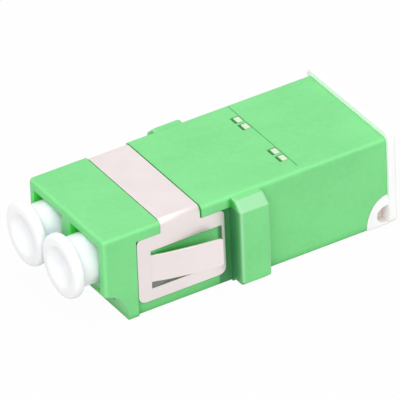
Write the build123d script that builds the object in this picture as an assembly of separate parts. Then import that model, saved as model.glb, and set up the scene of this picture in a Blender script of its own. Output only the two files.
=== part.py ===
from build123d import *
import math
import os

# A duplex fibre adapter with a one-piece body, a panel clip and three dust caps.
# Millimetres. The origin is on the underside, at mid-length and mid-width. +X runs
# along the two ports from the front (single caps) to the rear (double cap), -Y is the
# near side and +Z is up.

# Body, whose width and height follow from its ports and the walls around them
body_length = 29.5
body_edge_radius = 0.42
body_foot_radius = 0.2
port_pitch = 6.25
port_width = 4.85
port_axis_height = 5.75
side_wall = 0.9
roof = 0.925
web_thickness = 1.2
latch_width = 3.4
latch_floor = 1.0
latch_length = 6.9
lever_width = 2.3
lever_ceiling = 2.2
shoulder_length = 3.6
notch_length = 2.32
notch_height = 3.2
mould_line_x = 5.95
mould_line_width = 0.07
mould_line_depth = 0.07
mould_line_margin = 0.79

# Ears, which stop the adapter against the panel
ear_length = 3.1
ear_reach = 1.62
ear_top_drop = 0.2
ear_bottom_rise = 0.15
ear_top_chamfer_reach = 1.0
ear_top_chamfer_drop = 0.86
ear_bottom_chamfer_reach = 0.5
ear_bottom_chamfer_rise = 0.42
ear_edge_radius = 0.38
ear_root = 0.6

# Panel clip, one folded sheet
sheet = 0.25
sheet_bend_radius = 0.3
clip_ear_gap = 0.62
strip_width = 4.15
plate_length = 9.1
plate_bottom = 1.12
plate_top_drop = 1.22
plate_corner_radius = 0.75
plate_top_corner_radius = 0.55
finger_root_inset = 1.4
finger_tip_inset = 1.0
slot_end_inset = 0.34
finger_bottom = 3.03
finger_top_drop = 2.03
slot_width = 0.45
lower_slot_width = 0.68
slot_corner_radius = 0.12
finger_mid_lift = 0.83
finger_tip_lift = 1.33

# Seat of the clip in the body
pocket_depth = 0.4
pocket_gap = 0.12
strip_gap = 0.08
strip_sink = 0.02

# Sleeve holders and split sleeves
sleeve_length = 6.8
sleeve_bore_radius = 0.625
sleeve_wall = 0.185
sleeve_slit = 0.12
sleeve_clearance = 0.05
sleeve_end_play = 0.05
tube_radius = 1.5
tube_clearance = 0.03
lip_length = 0.5
lip_bore_radius = 0.78
lip_chamfer = 0.25
flange_thickness = 0.6
flange_clearance = 0.04
flange_corner_radius = 0.2

# Snap arms of the rear holders, and the windows that catch their lugs
arm_spacing = 1.3
arm_width = 0.87
arm_thickness = 0.42
arm_side_clearance = 0.08
arm_top_clearance = 0.05
window_length = 0.9
window_bar = 0.03
lug_length = 0.58
lug_sink = 0.03
lug_clearance = 0.02

# Single dust caps at the front
cap_disc_gap = 0.15
cap_disc_thickness = 1.0
cap_standoff = 1.7
cap_rim_radius = 0.38
cap_fillet_radius = 0.3
cap_fit = 0.06
cap_bore_clearance = 0.15
cap_bore_overrun = 0.6
cap_dish_radius = 1.95
cap_dish_depth = 1.1
cap_dish_rim = 0.25

# Double dust cap at the rear
plate_cap_thickness = 0.85
plate_cap_side_overhang = 0.28
plate_cap_top_overhang = 0.55
plate_cap_corner_radius = 0.6
plate_cap_edge_radius = 0.2
plug_length = 7.0
plug_wall = 0.9
plug_tip_chamfer = 0.3
lip_clearance = 0.05
hollow_length = 1.15
hollow_half_height = 0.9
hollow_height = 1.1
hollow_depth = 1.2

# Values worked out from the sizes above
port_half = port_width / 2
port_top = port_axis_height + port_half
port_bottom = port_axis_height - port_half
half_length = body_length / 2
half_width = port_pitch / 2 + port_half + side_wall
body_width = 2 * half_width
body_height = port_top + roof
sides = {"near": -1, "far": 1}
ends = {"front": -1, "rear": 1}
clip_x = -ear_length / 2 - clip_ear_gap - plate_length / 2
plate_top = body_height - plate_top_drop
finger_top = plate_top - finger_top_drop
strip_top = body_height - strip_sink
strip_seat = strip_top - sheet
pocket_floor = half_width - pocket_depth
sleeve_radius = sleeve_bore_radius + sleeve_wall
holder_bore_radius = sleeve_radius + sleeve_clearance
tube_half_bore = sleeve_length / 2 + sleeve_end_play
tube_reach = tube_half_bore + lip_length
window_rear = mould_line_x - mould_line_width / 2 - window_bar
arm_tip = window_rear - lug_clearance
arm_top = port_top + arm_thickness
plug_radius = port_half - cap_fit
cap_disc_radius = (port_pitch - cap_disc_gap) / 2
dish_curve = (cap_dish_radius**2 + cap_dish_depth**2) / (2 * cap_dish_depth)
low = (Align.CENTER, Align.CENTER, Align.MIN)


def block(x, y, z):
    """A box given by its limits along X, Y and Z."""
    size = [high - low_end for low_end, high in (x, y, z)]
    centre = [(high + low_end) / 2 for low_end, high in (x, y, z)]
    return Pos(*centre) * Box(*size)


def rod(radius, x0, x1, y=0.0, z=port_axis_height):
    """A cylinder along X, on a port's axis unless another place is given."""
    return Pos((x0 + x1) / 2, y, z) * Rot(0, 90, 0) * Cylinder(radius, x1 - x0)


def channel_y(side):
    """Where a port's axis lies across the body."""
    return side * port_pitch / 2


def outer_span(side, inner, outer):
    """Limits along Y of something between two distances from mid-width, on one side."""
    return tuple(sorted((side * inner, side * outer)))


def end_span(end, depth_from, depth_to):
    """Limits along X of something between two depths behind an end face."""
    return tuple(sorted((end * (half_length - depth_from), end * (half_length - depth_to))))


def corner_ellipse(end, length, height, width, lift=0.0):
    """An elliptic bar across the body, centred on the corner of an end face."""
    outline = Plane.XZ * Ellipse(length, height)
    bar = extrude(outline, width / 2, both=True)
    return Pos(end * half_length, 0, lift) * bar


def ear(side):
    """One flange stub, with sloping top and bottom and rounded outer edges."""
    top = body_height - ear_top_drop
    outer = half_width + ear_reach
    inner = half_width - ear_root
    outline = [
        (inner, ear_bottom_rise),
        (outer - ear_bottom_chamfer_reach, ear_bottom_rise),
        (outer, ear_bottom_rise + ear_bottom_chamfer_rise),
        (outer, top - ear_top_chamfer_drop),
        (outer - ear_top_chamfer_reach, top),
        (inner, top),
    ]
    points = [(side * y, z) for y, z in outline]
    stub = extrude(Plane.YZ * make_face(Polyline(*points, close=True)), ear_length / 2, both=True)
    front_and_rear = stub.edges().filter_by(lambda e: abs(abs(e.center().X) - ear_length / 2) < 1e-4)
    outside = front_and_rear.filter_by(lambda e: abs(e.center().Y) > inner + 1e-4)
    return fillet(outside, ear_edge_radius)


def clip_seat():
    """What is cut from the body for the clip: a strip over the top and a pocket each side."""
    neck = strip_width / 2 + strip_gap
    core = block((clip_x - neck, clip_x + neck), (-pocket_floor, pocket_floor), (-1, strip_seat))
    long_edges = core.edges().filter_by(Axis.X).group_by(Axis.Z)[-1]
    core = fillet(long_edges, sheet_bend_radius + sheet / 2)
    over = (-half_width - 1, half_width + 1)
    pocket_top = plate_top + pocket_gap / 2
    cut = block((clip_x - neck, clip_x + neck), over, (pocket_top - 1, body_height + 1)) - core
    front = clip_x - plate_length / 2 - pocket_gap
    for side in sides.values():
        depth = outer_span(side, pocket_floor, half_width + 1)
        cut += block((front, -ear_length / 2), depth, (-1, pocket_top))
    return cut


def port_cuts(side):
    """The hollows of one channel: two ports, their latch ways and the hole through the web."""
    y = channel_y(side)
    square = (y - port_half, y + port_half)
    bore_height = (port_bottom, port_top)
    cut = block((-half_length - 1, -web_thickness), square, bore_height)
    cut += block((0, half_length + 1), square, bore_height)
    cut += rod(tube_radius + tube_clearance, -web_thickness - 1, 1, y)
    for end in ends.values():
        wide = (y - latch_width / 2, y + latch_width / 2)
        narrow = (y - lever_width / 2, y + lever_width / 2)
        ceiling = port_bottom + 0.1
        cut += block(end_span(end, -1, latch_length), wide, (lever_ceiling, ceiling))
        cut += block(end_span(end, -1, latch_length), narrow, (latch_floor, ceiling))
        cut += block(end_span(end, shoulder_length, latch_length), wide, (latch_floor, ceiling))
    return cut


def arm_places(side):
    """Where the two snap arms of one channel lie across the body."""
    return [channel_y(side) + step * arm_spacing / 2 for step in (-1, 1)]


def arm_cuts(side):
    """The groove over each snap arm and the window that its lug fills."""
    cut = Part()
    half = arm_width / 2 + arm_side_clearance
    for y in arm_places(side):
        across = (y - half, y + half)
        groove = (port_top - 0.1, arm_top + arm_top_clearance)
        cut += block((flange_thickness, window_rear), across, groove)
        cut += block((window_rear - window_length, window_rear), across, (port_top, body_height + 1))
    return cut


def adapter_body():
    """The moulded body, in one piece."""
    body = Box(body_length, body_width, body_height, align=low)
    off_rear = body.edges().filter_by(lambda e: e.center().X < half_length - 1e-4)
    body = fillet(off_rear.filter_by(lambda e: e.center().Z > 1e-4), body_edge_radius)
    foot = body.faces().sort_by(Axis.Z)[0].edges()
    body = fillet(foot.filter_by(lambda e: e.center().X < half_length - 1e-4), body_foot_radius)
    body -= clip_seat()
    for side in sides.values():
        body += ear(side)
        body -= port_cuts(side)
        body -= arm_cuts(side)
    for end in ends.values():
        body -= corner_ellipse(end, notch_length, notch_height, body_width + 1)
    line_x = (mould_line_x - mould_line_width / 2, mould_line_x + mould_line_width / 2)
    line_y = (mould_line_margin - half_width, half_width - body_edge_radius)
    return body - block(line_x, line_y, (body_height - mould_line_depth, body_height + 1))


def finger_profile(root_x, tip_x):
    """The bowed section of a spring finger, seen from above, on the far side."""
    inner = [
        (root_x, pocket_floor),
        ((root_x + tip_x) / 2, pocket_floor + finger_mid_lift),
        (tip_x, pocket_floor + finger_tip_lift),
    ]
    arc = ThreePointArc(*inner)
    centre, radius = arc.arc_center, arc.radius + sheet
    outward = (Vector(*inner[2]) - centre).normalized()
    tip = centre + outward * radius
    middle = centre + (Vector(*inner[1]) - centre).normalized() * radius
    root = Vector(root_x, centre.Y + math.sqrt(radius**2 - (root_x - centre.X) ** 2))
    outline = arc + Line(inner[2], tip) + ThreePointArc(tip, middle, root) + Line(root, inner[0])
    return make_face(outline)


def clip_side(side):
    """One side plate of the clip, with its two slots and its spring finger."""
    front = clip_x - plate_length / 2
    rear = clip_x + plate_length / 2
    thick = outer_span(side, pocket_floor, pocket_floor + sheet)
    plate = block((front, rear), thick, (plate_bottom, plate_top))
    corners = plate.edges().filter_by(Axis.Y).group_by(Axis.Z)
    plate = fillet(corners[0], plate_corner_radius)
    plate = fillet(plate.edges().filter_by(Axis.Y).group_by(Axis.Z)[-1], plate_top_corner_radius)
    root_x = front + finger_root_inset
    tip_x = rear - finger_tip_inset
    slot = (finger_bottom - lower_slot_width, finger_top + slot_width)
    opening = block((root_x, rear - slot_end_inset), outer_span(side, 0, half_width + 1), slot)
    opening = fillet(opening.edges().filter_by(Axis.Y), slot_corner_radius)
    plate -= opening
    profile = finger_profile(root_x, tip_x)
    finger = Pos(0, 0, finger_bottom) * extrude(profile, finger_top - finger_bottom)
    if side < 0:
        finger = mirror(finger, Plane.XZ)
    return plate + finger


def panel_clip():
    """The folded clip: a strip over the top and a plate down each side."""
    outer_y = pocket_floor + sheet
    outer = block((-strip_width / 2, strip_width / 2), (-outer_y, outer_y), (plate_top - 0.5, strip_top))
    bend = outer.edges().filter_by(Axis.X).group_by(Axis.Z)[-1]
    outer = fillet(bend, sheet_bend_radius + sheet)
    inner = block((-strip_width, strip_width), (-pocket_floor, pocket_floor), (0, strip_seat))
    bend = inner.edges().filter_by(Axis.X).group_by(Axis.Z)[-1]
    inner = fillet(bend, sheet_bend_radius)
    clip = Pos(clip_x, 0, 0) * (outer - inner)
    for side in sides.values():
        clip += clip_side(side)
    return clip


def holder_tube(end, y):
    """The tube of a sleeve holder, from the joint between the two halves to its lip."""
    joint = flange_thickness
    outer_x = sorted((joint, end * tube_reach))
    bore_x = sorted((joint, end * tube_half_bore))
    tube = rod(tube_radius, *outer_x, y)
    tip = tube.edges().filter_by(GeomType.CIRCLE).sort_by(Axis.X)[0 if end < 0 else -1]
    tube = chamfer(tip, lip_chamfer)
    return tube, rod(holder_bore_radius, *bore_x, y) + rod(lip_bore_radius, -half_length, half_length, y)


def flange(y, x0, x1):
    """A square flange that fills the port, with rounded corners."""
    half = port_half - flange_clearance
    height = (port_axis_height - half, port_axis_height + half)
    plate = block((x0, x1), (y - half, y + half), height)
    return fillet(plate.edges().filter_by(Axis.X), flange_corner_radius)


def front_holder(side):
    """The front half of a sleeve holder, which seats on the web."""
    y = channel_y(side)
    tube, bore = holder_tube(-1, y)
    return tube + flange(y, 0, flange_thickness) - bore


def rear_holder(side):
    """The rear half of a sleeve holder, with two snap arms."""
    y = channel_y(side)
    tube, bore = holder_tube(1, y)
    holder = tube + flange(y, flange_thickness, 2 * flange_thickness) - bore
    for arm_y in arm_places(side):
        across = (arm_y - arm_width / 2, arm_y + arm_width / 2)
        root_height = (port_axis_height + tube_radius, arm_top)
        root = block((flange_thickness, 2 * flange_thickness), across, root_height)
        arm = block((flange_thickness, arm_tip), across, (port_top, arm_top))
        lug = block((arm_tip - lug_length, arm_tip), across, (port_top, body_height - lug_sink))
        holder += root + arm + lug
    return holder


def split_sleeve(side):
    """The split ceramic sleeve that lines up two ferrules."""
    y = channel_y(side)
    half = sleeve_length / 2
    sleeve = rod(sleeve_radius, -half, half, y) - rod(sleeve_bore_radius, -half, half, y)
    slit = (port_axis_height, port_axis_height + 2 * sleeve_radius)
    return sleeve - block((-half, half), (y - sleeve_slit / 2, y + sleeve_slit / 2), slit)


def circles(shape, radius):
    """The circular edges of a shape that have a given radius."""
    round_edges = shape.edges().filter_by(GeomType.CIRCLE)
    return round_edges.filter_by(lambda e: abs(e.radius - radius) < 1e-4)


def front_cap(side):
    """A single dust cap: a dished round grip, a neck and a hollow plug that stops on the web."""
    y = channel_y(side)
    disc_back = -half_length - cap_standoff
    face = disc_back - cap_disc_thickness
    disc = rod(cap_disc_radius, face, disc_back, y)
    disc = fillet(circles(disc, cap_disc_radius), cap_rim_radius)
    cap = disc + rod(plug_radius, disc_back - cap_rim_radius, -web_thickness, y)
    cap = fillet(circles(cap, plug_radius).sort_by(Axis.X)[0], cap_fillet_radius)
    ball = Rot(0, 90, 0) * Sphere(dish_curve)
    cap -= Pos(face + cap_dish_depth - dish_curve, y, port_axis_height) * ball
    cap = fillet(circles(cap, cap_dish_radius), cap_dish_rim)
    bore_end = -tube_reach - cap_bore_overrun
    return cap - rod(tube_radius + cap_bore_clearance, bore_end, -web_thickness, y)


def rear_cap():
    """The double dust cap: a flat plate, two hollow plugs and a lip that fills the notch."""
    back = half_length + plate_cap_thickness
    reach = half_width + plate_cap_side_overhang
    cap = block((half_length, back), (-reach, reach), (0, body_height + plate_cap_top_overhang))
    cap = fillet(cap.edges().filter_by(Axis.X), plate_cap_corner_radius)
    cap = fillet(cap.faces().sort_by(Axis.X)[-1].edges(), plate_cap_edge_radius)
    lip = corner_ellipse(1, notch_length - lip_clearance, notch_height - lip_clearance, body_width)
    lip &= block((0, half_length), (-half_width, half_width), (0, body_height))
    hollow = corner_ellipse(1, hollow_length, hollow_half_height, body_width + 1, hollow_height)
    hollow &= block((0, half_length), (-half_width - 1, half_width + 1), (0, body_height))
    core = half_width - hollow_depth
    hollow -= block((0, body_length), (-core, core), (0, body_height))
    cap += lip - hollow
    tip = half_length - plug_length
    for side in sides.values():
        y = channel_y(side)
        plug = rod(plug_radius, tip, half_length, y)
        plug = chamfer(plug.edges().filter_by(GeomType.CIRCLE).sort_by(Axis.X)[0], plug_tip_chamfer)
        cap += plug - rod(plug_radius - plug_wall, tip, half_length, y)
    return cap


pieces = {
    "adapter_body": adapter_body(),
    "panel_clip": panel_clip(),
    "rear_dust_cap": rear_cap(),
}
for name, side in sides.items():
    pieces[f"front_sleeve_holder_{name}"] = front_holder(side)
    pieces[f"rear_sleeve_holder_{name}"] = rear_holder(side)
    pieces[f"split_sleeve_{name}"] = split_sleeve(side)
    pieces[f"front_dust_cap_{name}"] = front_cap(side)

os.makedirs("parts", exist_ok=True)
for name, piece in pieces.items():
    export_step(piece, f"parts/{name}.step")
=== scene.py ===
"""A duplex fibre adapter in its studio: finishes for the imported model, and a clip folded from one sheet."""

import math
from functools import cached_property

import bmesh
import bpy
from bpy.props import FloatProperty, FloatVectorProperty, PointerProperty
from mathutils import Matrix, Vector


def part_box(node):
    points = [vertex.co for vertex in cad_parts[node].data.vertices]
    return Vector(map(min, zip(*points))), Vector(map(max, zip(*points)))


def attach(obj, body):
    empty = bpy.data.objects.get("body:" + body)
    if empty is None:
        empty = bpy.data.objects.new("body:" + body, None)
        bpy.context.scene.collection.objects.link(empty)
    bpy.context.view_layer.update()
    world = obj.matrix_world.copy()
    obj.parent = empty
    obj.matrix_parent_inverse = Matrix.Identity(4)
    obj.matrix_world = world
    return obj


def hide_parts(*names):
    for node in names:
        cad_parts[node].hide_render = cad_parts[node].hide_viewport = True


bl_info = {
    "name": "Duplex fibre adapter",
    "version": (1, 0, 0),
    "blender": (4, 5, 0),
    "location": "3D View > Sidebar > Fibre adapter",
    "description": "Dresses a duplex fibre adapter, folds its panel clip and sets up its studio",
    "category": "Object",
}

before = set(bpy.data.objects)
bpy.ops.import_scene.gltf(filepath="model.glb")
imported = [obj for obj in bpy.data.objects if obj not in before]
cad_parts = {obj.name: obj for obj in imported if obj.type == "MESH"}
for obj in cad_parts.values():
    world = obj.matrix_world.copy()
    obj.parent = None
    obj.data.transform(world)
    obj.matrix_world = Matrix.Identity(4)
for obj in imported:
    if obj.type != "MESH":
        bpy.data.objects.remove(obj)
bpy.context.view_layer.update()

MM = 0.001
SIDES = ("near", "far")

body_low, body_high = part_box("adapter_body")
clip_low, clip_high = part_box("panel_clip")

# Places on the body that its finish needs: its side faces, the front faces of its ears, the top and floor
# of the pocket behind each clip plate, the ends of the four windows and their lowest height, and the mould
# line across the top.
BODY_SIDE = 6.45 * MM
EAR_FRONT = -1.55 * MM
POCKET_TOP = 8.0 * MM
POCKET_FLOOR = 6.05 * MM
WINDOW_FRONT = 4.90 * MM
WINDOW_REAR = 5.90 * MM
WINDOW_BOTTOM = 8.0 * MM
MOULD_LINE_X = 5.95 * MM

# How near a corner of the sheet lies to a plane that counts it in, and how near two corners are merged.
TOUCH = 0.02 * MM
MERGE = 0.001 * MM

# The folded clip's small roundings, and the number of edges round each of its curves.
SLOT_CORNER = 0.12 * MM
TIP_CORNER = 0.20 * MM
SOFT_ROOT = 0.8 * MM
FINGER_STEPS = 14
BEND_STEPS = 8
PLATE_CORNER_STEPS = 8
SLOT_CORNER_STEPS = 3
TIP_CORNER_STEPS = 4
CREASE = math.radians(40)
SMOOTH = math.radians(32)

# The studio: where the camera aims, each lamp's place from the body's middle and its width, how far the
# floor lies under the adapter, how white it shows, and how much darker mirrors show the tent.
AIM = Vector((-2.22937, -2.22941, 6.64972)) * MM
KEY_PLACE = Vector((-0.27, -0.36, 0.40))
KEY_WIDTH = 0.60
TOP_PLACE = Vector((0.05, 0.05, 0.45))
TOP_WIDTH = 0.30
FLOOR_DROP = 0.02 * MM
FLOOR_SEEN = 0.97
MIRROR_DIMMING = 0.11
WHITE = (1, 1, 1, 1)


def length(name, description, default):
    """A size in metres that a user may change."""
    return FloatProperty(
        name=name, description=description, default=default, min=0.0, precision=5,
        subtype="DISTANCE", unit="LENGTH",
    )


def colour(name, description, default):
    """A finish's main colour, as linear red, green and blue."""
    return FloatVectorProperty(
        name=name, description=description, default=default, size=3, min=0.0, max=1.0,
        subtype="COLOR",
    )


def angle(name, description, degrees):
    """A turn that a user may change."""
    return FloatProperty(
        name=name, description=description, default=math.radians(degrees), precision=4,
        subtype="ANGLE", unit="ROTATION",
    )


def watts(name, description, default):
    """A lamp's power that a user may change."""
    return FloatProperty(
        name=name, description=description, default=default, min=0.0, subtype="POWER", unit="POWER",
    )


class ClipSizes(bpy.types.PropertyGroup):
    """Sizes of the folded panel clip."""

    sheet: length("Sheet", "Thickness of the sheet", 0.25 * MM)
    reach: length("Plate face", "From mid-width to a side plate's outer face", 6.3 * MM)
    strip_width: length("Strip width", "Width of the strip over the top", 4.15 * MM)
    shoulder: length("Shoulder", "From the top of the strip down to the top of a side plate", 1.2 * MM)
    bend: length("Bend", "Outer radius of the bend at the top edges", 0.55 * MM)
    lower_corner: length("Lower corners", "Radius of a side plate's lower corners", 0.75 * MM)
    upper_corner: length("Upper corners", "Radius of a side plate's upper corners", 0.55 * MM)
    root_inset: length("Finger root", "From the plate's front edge to the finger's root", 1.4 * MM)
    tip_inset: length("Finger tip", "From the plate's rear edge to the finger's tip", 1.0 * MM)
    slot_inset: length("Slot end", "From the plate's rear edge to the end of the slots", 0.34 * MM)
    finger_low: length("Finger bottom", "Height of the finger's lower edge", 3.03 * MM)
    finger_high: length("Finger top", "Height of the finger's upper edge", 5.85 * MM)
    slot: length("Upper slot", "Width of the slot above the finger", 0.45 * MM)
    lower_slot: length("Lower slot", "Width of the slot below the finger", 0.68 * MM)
    mid_lift: length("Middle lift", "How far the finger's middle stands out", 0.83 * MM)
    tip_lift: length("Tip lift", "How far the finger's tip stands out", 1.33 * MM)
    rounding: length("Edge rounding", "Width of the rounding along the sheet's cut edges", 0.045 * MM)


class Colours(bpy.types.PropertyGroup):
    """Main colours of the finishes."""

    green: colour("Green plastic", "Colour of the moulded body", (0.184, 0.668, 0.230))
    steel: colour("Steel", "Colour of the clip", (0.935, 0.850, 0.842))
    white: colour("White plastic", "Colour of the dust caps", (0.99, 0.99, 0.99))
    ivory: colour("Ivory plastic", "Colour of the sleeve holders", (0.66, 0.79, 0.58))
    ceramic: colour("Ceramic", "Colour of the split sleeves", (0.86, 0.85, 0.82))


class Studio(bpy.types.PropertyGroup):
    """Light levels, floor and camera."""

    sky: FloatProperty(
        name="Sky level", description="Brightness of the surrounding tent", default=0.76,
        min=0.0, soft_max=1.0, subtype="FACTOR",
    )
    key: watts("Key level", "Power of the large lamp by the camera", 2.15)
    top: watts("Top level", "Power of the lamp above", 0.3)
    floor: length("Floor size", "Side of the square floor", 4.0)
    azimuth: angle("Azimuth", "Camera's turn round the adapter", -30.3628)
    elevation: angle("Elevation", "Camera's height over the floor, as an angle", 33.5232)
    roll: angle("Roll", "Camera's turn about its own axis", -2.4082)
    distance: length("Distance", "From the aimed point to the camera", 0.8136994)
    lens: FloatProperty(
        name="Lens", description="Focal length in millimetres", default=824.34,
        min=1.0, subtype="DISTANCE_CAMERA", unit="CAMERA",
    )


class Signal:
    """A value or vector that a finish works out, on which Python's operators add Math nodes."""

    def __init__(self, finish, socket):
        self.finish = finish
        self.socket = socket

    def calculate(self, operation, first, second):
        """Adds one Math node."""
        return self.finish.node("ShaderNodeMath", {"operation": operation}, {0: first, 1: second})

    def __add__(self, other):
        return self.calculate("ADD", self, other)

    __radd__ = __add__

    def __sub__(self, other):
        return self.calculate("SUBTRACT", self, other)

    def __rsub__(self, other):
        return self.calculate("SUBTRACT", other, self)

    def __mul__(self, other):
        return self.calculate("MULTIPLY", self, other)

    __rmul__ = __mul__


class Finish:
    """The nodes of a new material or world, put together one by one."""

    def __init__(self, owner):
        self.owner = owner
        owner.use_nodes = True
        self.tree = owner.node_tree
        self.tree.nodes.clear()

    def node(self, kind, settings=None, sockets=None, output=0):
        """Adds one node with its settings, then its socket values and links. Returns one of its outputs."""
        made = self.tree.nodes.new(kind)
        for key, value in (settings or {}).items():
            setattr(made, key, value)
        for key, value in (sockets or {}).items():
            if isinstance(value, Signal):
                self.tree.links.new(value.socket, made.inputs[key])
            else:
                made.inputs[key].default_value = value
        return Signal(self, made.outputs[output]) if made.outputs else None

    @cached_property
    def place(self):
        """The object's own coordinates, in metres."""
        return self.node("ShaderNodeTexCoord", output="Object")

    def part_of(self, vector, axis):
        """A vector's part along X, Y or Z."""
        return self.node("ShaderNodeSeparateXYZ", {}, {0: vector}, axis)

    def along(self, axis):
        """The object's own coordinate along X, Y or Z, in metres."""
        return self.part_of(self.place, axis)

    def from_middle(self):
        """How far a place is from mid-width, on either side, in metres."""
        return self.without_sign(self.along("Y"))

    def without_sign(self, value):
        """The absolute value."""
        return self.node("ShaderNodeMath", {"operation": "ABSOLUTE"}, {0: value})

    def larger(self, first, second):
        """The larger of two values."""
        return self.node("ShaderNodeMath", {"operation": "MAXIMUM"}, {0: first, 1: second})

    def noise(self, size, detail=2.0, roughness=0.5, stretch=(1, 1, 1)):
        """Cloudy variation from 0 to 1, whose blotches are about as large as the size given."""
        scale = [1 / (size * part) for part in stretch]
        place = self.node("ShaderNodeMapping", {}, {"Vector": self.place, "Scale": scale})
        sockets = {"Vector": place, "Scale": 1.0, "Detail": detail, "Roughness": roughness}
        return self.node("ShaderNodeTexNoise", {}, sockets)

    def ramp(self, factor, low, high):
        """A mask that rises smoothly from 0 at low to 1 at high."""
        settings = {"interpolation_type": "SMOOTHSTEP"}
        sockets = {"Value": factor, "From Min": low, "From Max": high}
        return self.node("ShaderNodeMapRange", settings, sockets)

    def fall(self, factor, low, high):
        """A mask that falls smoothly from 1 at low to 0 at high."""
        return 1 - self.ramp(factor, low, high)

    def blend(self, factor, first, second):
        """A colour between two, by a factor from 0 to 1."""
        pair = [value if isinstance(value, Signal) else (*value, 1.0) for value in (first, second)]
        return self.node("ShaderNodeMix", {"data_type": "RGBA"}, {0: factor, 6: pair[0], 7: pair[1]}, 2)

    def edges(self, radius):
        """A rounded-off normal, and a mask that is 1 where the surface turns within that radius."""
        rounded = self.node("ShaderNodeBevel", {"samples": 6}, {"Radius": radius})
        flat = self.node("ShaderNodeNewGeometry", output="Normal")
        settings = {"operation": "DOT_PRODUCT"}
        alike = self.node("ShaderNodeVectorMath", settings, {0: rounded, 1: flat}, "Value")
        return rounded, self.ramp(1 - alike, 0.005, 0.12)

    def turned_faces(self):
        """A mask that is 1 on faces and roundings that lean away from the moulding's main directions."""
        normal = self.node("ShaderNodeNewGeometry", output="Normal")
        sizes = self.node("ShaderNodeVectorMath", {"operation": "ABSOLUTE"}, {0: normal})
        x, y, z = [self.part_of(sizes, axis) for axis in "XYZ"]
        return self.ramp(1 - self.larger(self.larger(x, y), z), 0.02, 0.20)

    def hollows(self, reach):
        """A mask that is 0 on open faces and rises to 1 in corners and hollows, within that reach."""
        settings, sockets = {"samples": 8}, {"Distance": reach}
        return 1 - self.node("ShaderNodeAmbientOcclusion", settings, sockets, "AO")

    def bump(self, height, distance, normal, strength):
        """Relief of the given depth, over another normal."""
        sockets = {"Height": height, "Distance": distance, "Normal": normal, "Strength": strength}
        return self.node("ShaderNodeBump", {}, sockets)

    def surface(self, shader):
        """Ends the material with a shader, and returns the material."""
        self.node("ShaderNodeOutputMaterial", {}, {"Surface": shader})
        return self.owner


def new_finish(name):
    """A new material with no nodes yet."""
    return Finish(bpy.data.materials.new(name))


def green_plastic(base):
    """Satin moulded plastic: flow marks and fine spark-eroded grain, with painted highlights on edges,
    painted shade in hollows and gaps, and painted glow at the ports.
    """
    finish = new_finish("green_plastic")
    flow = finish.noise(5 * MM, detail=3, roughness=0.55, stretch=(1.6, 1, 1))
    mottle = finish.noise(0.5 * MM, detail=3, roughness=0.6)
    grain = finish.noise(0.07 * MM, detail=2, roughness=0.6)
    rounded, edge = finish.edges(0.14 * MM)
    hollow = finish.hollows(1.6 * MM)
    # turned picks out roundings and slanted faces, which get a painted highlight unless they lie in a hollow.
    turned = finish.turned_faces() * finish.fall(hollow, 0.2, 0.5)
    on_ears = finish.ramp(finish.from_middle(), BODY_SIDE, BODY_SIDE + 0.2 * MM)
    # behind_mouth is 0 at the front ports' mouths, where a glow is painted, and 1 further in.
    behind_mouth = finish.ramp(finish.along("X"), body_low.x + 0.6 * MM, body_low.x + 1.6 * MM)

    darker = [part * 0.95 for part in base]
    brighter = [part * 1.04 + 0.01 for part in base]
    # A paler green: painted highlight on roundings and edges, broken up a little by the mottle.
    highlight_and_wear = [min(1.0, part * 1.16 + 0.02) for part in base]
    # A whiter green: painted highlight on the ears' slopes and edges.
    ear_highlight = (base[0] + 0.15, base[1] * 1.02, base[2] + 0.14)
    # A dark green: painted shade in the ears' corners and in the hollows.
    deep = (base[0] * 0.14, base[1] * 0.58, base[2] * 0.20)
    # A bright green: painted glow where light shines through the thin walls at the front ports' mouths.
    painted_glow = (base[0] * 0.30, base[1] * 1.40, base[2] * 0.30)
    # A dark grey-green: painted shadow in the clip's side pockets.
    shadow = (base[0] * 0.20, base[1] * 0.34, base[2] * 0.32)
    # A dark grey: painted shade behind the lower slots.
    painted_slot_shade = (0.21, 0.23, 0.205)

    shade = finish.blend(finish.ramp(flow * 0.7 + mottle * 0.3, 0.32, 0.68), darker, brighter)
    # Painted highlight on roundings and slanted faces.
    shade = finish.blend(turned * 0.5, shade, highlight_and_wear)
    # Whiter painted highlight on the ears' slopes and edges.
    shade = finish.blend(turned * on_ears * 0.85, shade, ear_highlight)
    # Painted highlight along edges, broken up by the mottle.
    shade = finish.blend(edge * 0.35 * finish.ramp(mottle, 0.25, 0.6), shade, highlight_and_wear)
    # Painted shade in the ears' corners.
    shade = finish.blend(ear_corner_shade(finish) * 0.85, shade, deep)
    # Painted shade in the hollows, with a painted glow in its place at the front ports' mouths.
    shade = finish.blend(hollow_shade(finish, hollow), shade, finish.blend(behind_mouth, painted_glow, deep))
    # Painted shadow in the clip's side pockets.
    shade = finish.blend(clip_gap_shadow(finish) * 0.95, shade, shadow)
    # Painted grey shade behind the lower slots.
    shade = finish.blend(lower_slot(finish) * 0.95, shade, painted_slot_shade)

    rough = 0.40 + flow * 0.10 + grain * 0.06 - edge * 0.06
    relief = finish.bump(flow, 0.05 * MM, rounded, 0.25)
    relief = finish.bump(grain, 0.004 * MM, relief, 0.5)
    return finish.surface(finish.node("ShaderNodeBsdfPrincipled", {}, {
        "Base Color": shade, "Roughness": rough, "Normal": relief, "IOR": 1.50,
    }))


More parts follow.
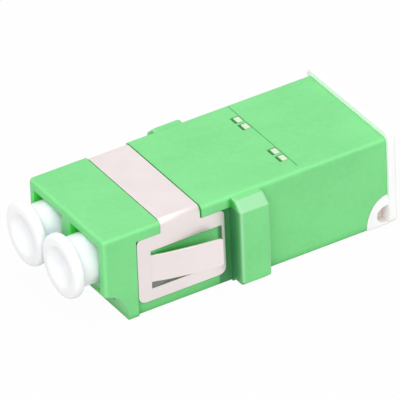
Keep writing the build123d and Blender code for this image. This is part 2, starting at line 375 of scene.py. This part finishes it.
def hollow_shade(finish, hollow):
    """A mask of painted shade in the body's hollows, weaker along the mould line, in the windows and beside
    the rear cap.
    """
    x = finish.along("X")
    on_line = finish.fall(finish.without_sign(x - MOULD_LINE_X), 0.05 * MM, 0.15 * MM)
    beside_cap = finish.ramp(x, body_high.x - 0.95 * MM, body_high.x - 0.35 * MM)
    in_windows = finish.ramp(x, WINDOW_FRONT - 0.15 * MM, WINDOW_FRONT)
    in_windows = in_windows * finish.fall(x, WINDOW_REAR - 0.05 * MM, WINDOW_REAR + 0.05 * MM)
    in_windows = in_windows * finish.ramp(finish.along("Z"), WINDOW_BOTTOM, WINDOW_BOTTOM + 0.3 * MM)
    inside = finish.ramp(hollow, 0.23, 0.72) * (1 - on_line * 0.6) * (1 - beside_cap * 0.7)
    return inside * (1 - in_windows * 0.55)


def ear_corner_shade(finish):
    """A mask of painted shade in the upright corner where each ear's front face meets the body. It fades out
    from there.
    """
    x, z, out = finish.along("X"), finish.along("Z"), finish.from_middle()
    before_ear = finish.ramp(x, EAR_FRONT - 0.50 * MM, EAR_FRONT - 0.05 * MM)
    before_ear = before_ear * finish.fall(x, EAR_FRONT + 0.02 * MM, EAR_FRONT + 0.12 * MM)
    beside = finish.ramp(out, BODY_SIDE - 0.15 * MM, BODY_SIDE - 0.05 * MM)
    beside = beside * finish.fall(out, 6.6 * MM, 8.3 * MM)
    return before_ear * beside * finish.fall(z, 8.70 * MM, 8.95 * MM)


def clip_gap_shadow(finish):
    """A mask of painted shadow in the clip's side pockets, before and behind the plates.

    Behind a plate it goes on over the ear's front face, and fades out along it.
    """
    x, z, out = finish.along("X"), finish.along("Z"), finish.from_middle()
    on_floor = finish.fall(out, POCKET_FLOOR + 0.05 * MM, POCKET_FLOOR + 0.15 * MM)
    behind = finish.ramp(x, clip_high.x - 0.75 * MM, clip_high.x - 0.45 * MM)
    behind = behind * finish.fall(x, EAR_FRONT + 0.02 * MM, EAR_FRONT + 0.12 * MM)
    before = finish.ramp(x, clip_low.x - 0.30 * MM, clip_low.x - 0.20 * MM)
    before = before * finish.fall(x, clip_low.x - 0.02 * MM, clip_low.x + 0.10 * MM) * on_floor
    beside = finish.ramp(out, POCKET_FLOOR - 0.20 * MM, POCKET_FLOOR - 0.05 * MM)
    beside = beside * finish.fall(out, 6.8 * MM, 8.6 * MM)
    below_top = finish.fall(z, POCKET_TOP - 0.1 * MM, POCKET_TOP + 0.05 * MM)
    return finish.larger(behind, before) * beside * below_top


def lower_slot(finish):
    """A mask of the pocket's floor behind the slot under each finger, where a grey shade is painted."""
    x, z, out = finish.along("X"), finish.along("Z"), finish.from_middle()
    on_floor = finish.ramp(out, POCKET_FLOOR - 0.20 * MM, POCKET_FLOOR - 0.05 * MM)
    on_floor = on_floor * finish.fall(out, POCKET_FLOOR + 0.05 * MM, POCKET_FLOOR + 0.15 * MM)
    level_with_slot = finish.ramp(z, 2.1 * MM, 2.4 * MM) * finish.fall(z, 3.1 * MM, 3.4 * MM)
    along_plate = finish.ramp(x, clip_low.x + 0.5 * MM, clip_low.x + 0.9 * MM)
    along_plate = along_plate * finish.fall(x, clip_high.x - 2.5 * MM, clip_high.x - 1.5 * MM)
    return on_floor * level_with_slot * along_plate


def steel(base):
    """Cold-rolled stainless sheet: faint streaks along its rolling, soft haze and a painted highlight along
    its cut edges.
    """
    finish = new_finish("steel")
    streaks = finish.noise(0.05 * MM, detail=3, roughness=0.6, stretch=(60, 1, 1))
    haze = finish.noise(2.2 * MM, detail=3, roughness=0.55)
    specks = finish.noise(0.10 * MM, detail=1)
    rounded, edge = finish.edges(0.05 * MM)
    dull = [part * 0.97 for part in base]
    # A paler steel: painted highlight along the sheet's cut edges.
    edge_highlight = [part + (1 - part) * 0.6 for part in base]
    shade = finish.blend(finish.ramp(haze * 0.6 + streaks * 0.4, 0.3, 0.7), dull, base)
    shade = finish.blend(edge * 0.7, shade, edge_highlight)
    rough = 0.30 + haze * 0.12 + streaks * 0.10 - edge * 0.08
    relief = finish.bump(haze, 0.03 * MM, rounded, 0.2)
    relief = finish.bump(streaks * 0.8 + specks * 0.2, 0.0016 * MM, relief, 0.5)
    return finish.surface(finish.node("ShaderNodeBsdfPrincipled", {}, {
        "Base Color": shade, "Metallic": 1.0, "Roughness": rough, "Normal": relief,
    }))


def moulded(name, base, gloss, grain_depth, hollow, reach, open_share=0.15, glow=0.0, hollow_top=None):
    """A pale moulded plastic or ceramic with slow clouds, fine grain and painted shade in its hollows.

    gloss is its lowest roughness, and grain_depth the depth of its grain. The hollow colour is painted shade
    that shows in corners within the reach, from open_share of shade up, and only below hollow_top where that
    is given. glow is how far light spreads inside.
    """
    finish = new_finish(name)
    clouds = finish.noise(3 * MM, detail=3, roughness=0.5)
    grain = finish.noise(0.09 * MM, detail=2, roughness=0.55)
    specks = finish.ramp(finish.noise(0.35 * MM, detail=2), 0.66, 0.74)
    rounded, edge = finish.edges(0.10 * MM)
    deep = [part * 0.965 for part in base]
    speck = [part * 0.9 for part in base]
    shade = finish.blend(finish.ramp(clouds, 0.3, 0.7), deep, base)
    shade = finish.blend(specks * 0.25, shade, speck)
    inside = finish.ramp(finish.hollows(reach), open_share, open_share + 0.40)
    if hollow_top is not None:
        inside = inside * finish.fall(finish.along("Z"), hollow_top - 0.4 * MM, hollow_top + 0.4 * MM)
    # Painted shade in the hollows.
    shade = finish.blend(inside, shade, hollow)
    rough = gloss + clouds * 0.08 + grain * 0.05 - edge * 0.04
    relief = finish.bump(clouds, 0.05 * MM, rounded, 0.2)
    relief = finish.bump(grain, grain_depth, relief, 0.5)
    return finish.surface(finish.node("ShaderNodeBsdfPrincipled", {}, {
        "Base Color": shade, "Roughness": rough, "Normal": relief, "IOR": 1.50,
        "Subsurface Weight": glow, "Subsurface Radius": (1.0, 1.0, 1.0),
        "Subsurface Scale": glow * 2.0 * MM,
    }))


def dress(name, material):
    """Gives a CAD node its finish, in the slot that it came with."""
    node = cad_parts[name]
    if node.material_slots:
        node.material_slots[0].material = material
    else:
        node.data.materials.append(material)


def start(add, name, **settings):
    """Deselects everything, adds a primitive and puts its place into its mesh."""
    bpy.ops.object.select_all(action="DESELECT")
    add(**settings)
    piece = bpy.context.object
    piece.name = name
    piece.data.name = name
    bpy.ops.object.transform_apply(location=True, rotation=True, scale=True)
    return piece


def choose(piece, kind, test):
    """Selects the vertices, edges or faces whose middle passes a test, and nothing else."""
    bpy.ops.mesh.select_mode(type=kind)
    bpy.ops.mesh.select_all(action="DESELECT")
    mesh = bmesh.from_edit_mesh(piece.data)
    chosen = 0
    for part in {"VERT": mesh.verts, "EDGE": mesh.edges, "FACE": mesh.faces}[kind]:
        if kind == "VERT":
            middle = part.co
        elif kind == "EDGE":
            middle = (part.verts[0].co + part.verts[1].co) / 2
        else:
            middle = part.calc_center_median()
        if test(middle):
            part.select_set(True)
            chosen += 1
    mesh.select_flush_mode()
    bmesh.update_edit_mesh(piece.data)
    if not chosen:
        raise RuntimeError(f"{piece.name}: nothing to select for this step")


def near_to(value, target):
    """True where a coordinate lies on a plane of the shape."""
    return abs(value - target) < TOUCH


def between(value, low, high):
    """True where a coordinate lies between two others, ends left out."""
    return low + TOUCH < value < high - TOUCH


def apply_modifier(piece, kind, **settings):
    """Adds a modifier, sets it and applies it."""
    modifier = piece.modifiers.new(kind.lower(), kind)
    for key, value in settings.items():
        setattr(modifier, key, value)
    bpy.ops.object.modifier_apply(modifier=modifier.name)


def hand_over(piece, body, slot, material, *nodes):
    """Gives a finished piece its finish and its body, and hides the model's nodes that it stands for. slot is
    not used.
    """
    piece.data.materials.clear()
    piece.data.materials.append(material)
    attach(piece, body)
    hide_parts(*nodes)


def done(operator, text):
    """Ends an operator with a word to the user."""
    operator.report({"INFO"}, text)
    return {"FINISHED"}


class ADAPTER_OT_body(bpy.types.Operator):
    """Give the moulded body its satin green plastic"""

    bl_idname = "adapter.body"
    bl_label = "Dress body"

    def execute(self, context):
        dress("adapter_body", green_plastic(context.scene.adapter_colours.green))
        return done(self, "Body dressed")


class ADAPTER_OT_sleeves(bpy.types.Operator):
    """Give the sleeve holders and the split sleeves their finishes"""

    bl_idname = "adapter.sleeves"
    bl_label = "Dress holders and sleeves"

    def execute(self, context):
        colours = context.scene.adapter_colours
        # Colours of the painted shade in the holders' and sleeves' hollows.
        green_shade = (0.24, 0.62, 0.30)
        grey_shade = (0.55, 0.53, 0.48)
        ivory = moulded("ivory_plastic", colours.ivory, 0.36, 0.003 * MM, green_shade, 0.8 * MM)
        ceramic = moulded("ceramic", colours.ceramic, 0.12, 0.0005 * MM, grey_shade, 0.8 * MM)
        for side in SIDES:
            dress(f"front_sleeve_holder_{side}", ivory)
            dress(f"rear_sleeve_holder_{side}", ivory)
            dress(f"split_sleeve_{side}", ceramic)
        return done(self, "Holders and sleeves dressed")


class ADAPTER_OT_rear_cap(bpy.types.Operator):
    """Give the double dust cap its white plastic"""

    bl_idname = "adapter.rear_cap"
    bl_label = "Dress rear cap"

    def execute(self, context):
        white = context.scene.adapter_colours.white
        # Colour of the painted shade in the cap's lower hollows.
        warm_shade = (0.93, 0.84, 0.78)
        dress("rear_dust_cap", moulded(
            "white_plastic", white, 0.34, 0.003 * MM, warm_shade, 1.2 * MM,
            open_share=0.40, glow=0.2, hollow_top=2.8 * MM,
        ))
        return done(self, "Rear cap dressed")


class ADAPTER_OT_front_caps(bpy.types.Operator):
    """Give the single dust caps their white plastic"""

    bl_idname = "adapter.front_caps"
    bl_label = "Dress front caps"

    def execute(self, context):
        white = context.scene.adapter_colours.white
        # Colour of the painted shade in the caps' dishes and hollows.
        cool_shade = (0.76, 0.80, 0.88)
        material = moulded(
            "white_plastic_caps", white, 0.34, 0.003 * MM, cool_shade, 2.2 * MM,
            open_share=0.06, glow=0.7,
        )
        for side in SIDES:
            dress(f"front_dust_cap_{side}", material)
        return done(self, "Front caps dressed")


def finger_lift(sizes, root_x, tip_x):
    """How far the finger's outer face stands out of the plate's outer face, as a function of X.

    The finger follows an arc through its root, middle and tip, and leaves the plate in a soft bend.
    """
    run = tip_x - root_x
    middle, tip = (run / 2, sizes.mid_lift), (run, sizes.tip_lift)
    across = 2 * (middle[0] * tip[1] - middle[1] * tip[0])
    first, last = middle[0] ** 2 + middle[1] ** 2, tip[0] ** 2 + tip[1] ** 2
    centre_x = (tip[1] * first - middle[1] * last) / across
    centre_out = (middle[0] * last - tip[0] * first) / across
    radius = math.hypot(centre_x, centre_out) + sizes.sheet

    def lift(x):
        along = x - root_x
        out = centre_out + math.sqrt(radius**2 - (along - centre_x) ** 2) - sizes.sheet
        share = min(1.0, along / SOFT_ROOT)
        return out * share * share * (3 - 2 * share)

    return lift


def cut(piece, window, x=None, z=None):
    """Bisects the faces of an upright sheet that lie in a window, across X or across Z."""
    low_x, high_x, low_z, high_z = window
    choose(piece, "FACE", lambda c: between(c.x, low_x, high_x) and between(c.z, low_z, high_z))
    point, normal = ((x, 0, 0), (1, 0, 0)) if z is None else ((0, 0, z), (0, 0, 1))
    bpy.ops.mesh.bisect(plane_co=point, plane_no=normal, use_fill=False)


def round_corners(piece, corners, radius, steps):
    """Rounds the corners of an upright sheet, which are given by their X and Z."""
    choose(piece, "VERT", lambda c: any(near_to(c.x, x) and near_to(c.z, z) for x, z in corners))
    bpy.ops.mesh.bevel(affect="VERTICES", offset=radius, segments=steps, profile=0.5)


class ADAPTER_OT_clip(bpy.types.Operator):
    """Build the folded panel clip from one sheet, with its slots and spring fingers"""

    bl_idname = "adapter.clip"
    bl_label = "Build panel clip"

    def execute(self, context):
        sizes = context.scene.adapter_clip
        top = clip_high.z - sizes.shoulder
        clip = self.side_plate(sizes, clip_low.x, clip_high.x, clip_low.z, top)
        self.strip(clip, sizes, (clip_low.x + clip_high.x) / 2, top)
        bpy.ops.object.mode_set(mode="OBJECT")
        self.thicken(clip, sizes)
        hand_over(clip, "adapter", "steel", steel(context.scene.adapter_colours.steel), "panel_clip")
        return done(self, "Clip built")

    def side_plate(self, sizes, front, rear, bottom, top):
        """The near side plate as a bare sheet, with its slots cut and its finger bowed out."""
        middle = ((front + rear) / 2, -sizes.reach, (bottom + top) / 2)
        add = bpy.ops.mesh.primitive_plane_add
        clip = start(add, "folded_clip", size=1, location=middle, rotation=(math.pi / 2, 0, 0))
        bpy.ops.object.mode_set(mode="EDIT")
        bpy.ops.mesh.select_all(action="SELECT")
        bpy.ops.transform.resize(value=(rear - front, 1, top - bottom), center_override=middle)
        root, tip, end = front + sizes.root_inset, rear - sizes.tip_inset, rear - sizes.slot_inset
        low, high = sizes.finger_low, sizes.finger_high
        slot_low, slot_high = low - sizes.lower_slot, high + sizes.slot
        whole = (front, rear, bottom, top)
        band = (front, rear, slot_low, slot_high)
        opening = (root, end, slot_low, slot_high)
        finger = (root, end, low, high)
        cut(clip, whole, z=slot_low)
        cut(clip, whole, z=slot_high)
        cut(clip, band, x=root)
        cut(clip, band, x=end)
        cut(clip, opening, z=low)
        cut(clip, opening, z=high)
        cut(clip, finger, x=tip)

        def in_opening(c):
            inside = between(c.x, root, end) and between(c.z, slot_low, slot_high)
            return inside and not (c.x < tip and between(c.z, low, high))

        choose(clip, "FACE", in_opening)
        bpy.ops.mesh.delete(type="FACE")
        for step in range(1, FINGER_STEPS):
            cut(clip, finger, x=root + (tip - root) * step / FINGER_STEPS)
        slot_corners = [(x, z) for x in (root, end) for z in (slot_low, slot_high)]
        round_corners(clip, [(front, bottom), (rear, bottom)], sizes.lower_corner, PLATE_CORNER_STEPS)
        round_corners(clip, [(front, top), (rear, top)], sizes.upper_corner, PLATE_CORNER_STEPS)
        round_corners(clip, slot_corners, SLOT_CORNER, SLOT_CORNER_STEPS)
        round_corners(clip, [(tip, low), (tip, high)], TIP_CORNER, TIP_CORNER_STEPS)
        self.bow(clip, finger_lift(sizes, root, tip), (root, tip, low, high))
        return clip

    def bow(self, clip, lift, finger):
        """Moves each row of the finger's vertices out to its curve."""
        root, tip, low, high = finger
        rows = {
            round(v.co.x, 8) for v in bmesh.from_edit_mesh(clip.data).verts
            if root + TOUCH < v.co.x < tip + TOUCH and low - TOUCH < v.co.z < high + TOUCH
        }
        same_row = 2e-8

        def in_row(c):
            return abs(c.x - x) < same_row and low - TOUCH < c.z < high + TOUCH

        for x in sorted(rows):
            choose(clip, "VERT", in_row)
            bpy.ops.transform.translate(value=(0, -lift(x), 0))

    def strip(self, clip, sizes, middle_x, top):
        """The near half of the strip over the top, drawn out of the side plate's upper edge.

        Its flat is drawn in two steps, so that the row of faces beside the bend stays narrow.
        """
        low_x, high_x = middle_x - sizes.strip_width / 2, middle_x + sizes.strip_width / 2
        upper = (clip_low.x, clip_high.x, sizes.finger_high + sizes.slot, top)
        cut(clip, upper, x=low_x)
        cut(clip, upper, x=high_x)
        choose(clip, "EDGE", lambda c: near_to(c.z, top) and between(c.x, low_x, high_x))
        rise = sizes.shoulder - sizes.bend
        bpy.ops.mesh.extrude_region_move(TRANSFORM_OT_translate={"value": (0, 0, rise)})
        centre = (middle_x, sizes.bend - sizes.reach, top + rise)
        bpy.ops.mesh.spin(steps=BEND_STEPS, angle=math.pi / 2, center=centre, axis=(1, 0, 0))
        narrow = sizes.sheet
        for stretch in (narrow, sizes.reach - sizes.bend - narrow):
            bpy.ops.mesh.extrude_region_move(TRANSFORM_OT_translate={"value": (0, stretch, 0)})

    def thicken(self, clip, sizes):
        """Mirrors the half sheet, turns its faces outwards, and gives it thickness and rounded edges."""
        apply_modifier(clip, "MIRROR", use_axis=(False, True, False), merge_threshold=MERGE)
        bpy.ops.object.mode_set(mode="EDIT")
        bpy.ops.mesh.select_all(action="SELECT")
        bpy.ops.mesh.remove_doubles(threshold=MERGE)
        bpy.ops.mesh.normals_make_consistent(inside=False)
        bpy.ops.object.mode_set(mode="OBJECT")
        near_plate = next(face for face in clip.data.polygons if face.center.y < -sizes.reach + TOUCH)
        if near_plate.normal.y > 0:
            clip.data.flip_normals()
        apply_modifier(clip, "SOLIDIFY", thickness=sizes.sheet, offset=-1, use_even_offset=True)
        apply_modifier(
            clip, "BEVEL", width=sizes.rounding, segments=2, limit_method="ANGLE",
            angle_limit=CREASE, use_clamp_overlap=False,
        )
        bpy.ops.object.shade_smooth_by_angle(angle=SMOOTH)
        apply_modifier(clip, "WEIGHTED_NORMAL", keep_sharp=True)


def seen_rays(finish):
    """1 for camera, mirror and see-through rays, and 0 for the light that falls on things."""
    rays = ("Is Camera Ray", "Is Glossy Ray", "Is Transmission Ray")
    camera, glossy, through = [finish.node("ShaderNodeLightPath", output=ray) for ray in rays]
    total = camera + glossy + through
    return finish.node("ShaderNodeMath", {"operation": "MINIMUM"}, {0: total, 1: 1.0})


def white_floor():
    """A matt pale floor that the camera and mirrors see as white, with the adapter's soft shadow kept."""
    finish = new_finish("floor")
    dust = finish.noise(20 * MM, detail=2)
    shade = finish.blend(dust, (0.62, 0.62, 0.62), (0.65, 0.65, 0.65))
    matt = finish.node("ShaderNodeBsdfDiffuse", {}, {"Color": shade})
    glow = finish.node("ShaderNodeEmission", {}, {"Color": WHITE, "Strength": 1.0})
    seen = seen_rays(finish) * FLOOR_SEEN
    return finish.surface(finish.node("ShaderNodeMixShader", {}, {0: seen, 1: matt, 2: glow}))


def lamp(name, location, target, width, power):
    """A large square softbox that points at a place."""
    light = bpy.data.lights.new(name, "AREA")
    light.shape = "SQUARE"
    light.size = width
    light.energy = power
    holder = bpy.data.objects.new(name, light)
    bpy.context.scene.collection.objects.link(holder)
    holder.location = location
    holder.rotation_euler = (target - location).to_track_quat("-Z", "Y").to_euler()


class ADAPTER_OT_stage(bpy.types.Operator):
    """Set up the floor, the lamps, the white tent and the camera"""

    bl_idname = "adapter.stage"
    bl_label = "Set up studio"

    def execute(self, context):
        studio = context.scene.adapter_studio
        add = bpy.ops.mesh.primitive_plane_add
        floor = start(add, "floor", size=studio.floor, location=(0, 0, -FLOOR_DROP))
        floor.data.materials.append(white_floor())
        centre = (body_low + body_high) / 2
        lamp("softbox_key", centre + KEY_PLACE, centre, KEY_WIDTH, studio.key)
        lamp("softbox_above", centre + TOP_PLACE, centre, TOP_WIDTH, studio.top)
        self.tent(context.scene, studio)
        self.camera(context.scene, studio)
        context.scene.view_settings.view_transform = "Standard"
        return done(self, "Studio ready")

    def tent(self, scene, studio):
        """A plain white world, seen as white but lighting the adapter at the sky's level."""
        world = bpy.data.worlds.new("tent")
        scene.world = world
        finish = Finish(world)
        mirrored = finish.node("ShaderNodeLightPath", output="Is Glossy Ray")
        strength = studio.sky + seen_rays(finish) * (1 - studio.sky) - mirrored * MIRROR_DIMMING
        white = finish.node("ShaderNodeBackground", {}, {"Color": WHITE, "Strength": strength})
        finish.node("ShaderNodeOutputWorld", {}, {"Surface": white})

    def camera(self, scene, studio):
        """The photograph's camera, from the angles and the distance of the studio's settings."""
        azimuth, elevation = studio.azimuth, studio.elevation
        flat = math.cos(elevation)
        back = Vector((math.sin(azimuth) * flat, -math.cos(azimuth) * flat, math.sin(elevation)))
        turn = back.to_track_quat("Z", "Y").to_matrix() @ Matrix.Rotation(studio.roll, 3, "Z")
        data = bpy.data.cameras.new("camera")
        data.sensor_width = 36
        data.lens = studio.lens
        data.clip_start = 0.01
        data.clip_end = 10
        camera = bpy.data.objects.new("camera", data)
        scene.collection.objects.link(camera)
        camera.location = AIM + back * studio.distance
        camera.rotation_euler = turn.to_euler()
        scene.camera = camera


class ADAPTER_PT_panel(bpy.types.Panel):
    """Lists the adapter's pieces and its studio"""

    bl_idname = "ADAPTER_PT_panel"
    bl_label = "Fibre adapter"
    bl_space_type = "VIEW_3D"
    bl_region_type = "UI"
    bl_category = "Fibre adapter"

    def draw(self, context):
        for operator in OPERATORS:
            self.layout.operator(operator.bl_idname)
        for group in GROUPS:
            settings = getattr(context.scene, group)
            for name in settings.__annotations__:
                self.layout.prop(settings, name)


GROUPS = {
    "adapter_clip": ClipSizes,
    "adapter_colours": Colours,
    "adapter_studio": Studio,
}
OPERATORS = (
    ADAPTER_OT_body,
    ADAPTER_OT_clip,
    ADAPTER_OT_front_caps,
    ADAPTER_OT_rear_cap,
    ADAPTER_OT_sleeves,
    ADAPTER_OT_stage,
)


def register():
    """Makes the settings, the operators and the panel known to Blender."""
    for name, group in GROUPS.items():
        bpy.utils.register_class(group)
        setattr(bpy.types.Scene, name, PointerProperty(type=group))
    for operator in OPERATORS:
        bpy.utils.register_class(operator)
    bpy.utils.register_class(ADAPTER_PT_panel)


def unregister():
    """Takes out what register put in."""
    bpy.utils.unregister_class(ADAPTER_PT_panel)
    for operator in reversed(OPERATORS):
        bpy.utils.unregister_class(operator)
    for name, group in reversed(GROUPS.items()):
        delattr(bpy.types.Scene, name)
        bpy.utils.unregister_class(group)


def main():
    """Builds everything in order."""
    register()
    bpy.ops.adapter.body()
    bpy.ops.adapter.clip()
    bpy.ops.adapter.front_caps()
    bpy.ops.adapter.rear_cap()
    bpy.ops.adapter.sleeves()
    bpy.ops.adapter.stage()


if __name__ == "__main__":
    main()
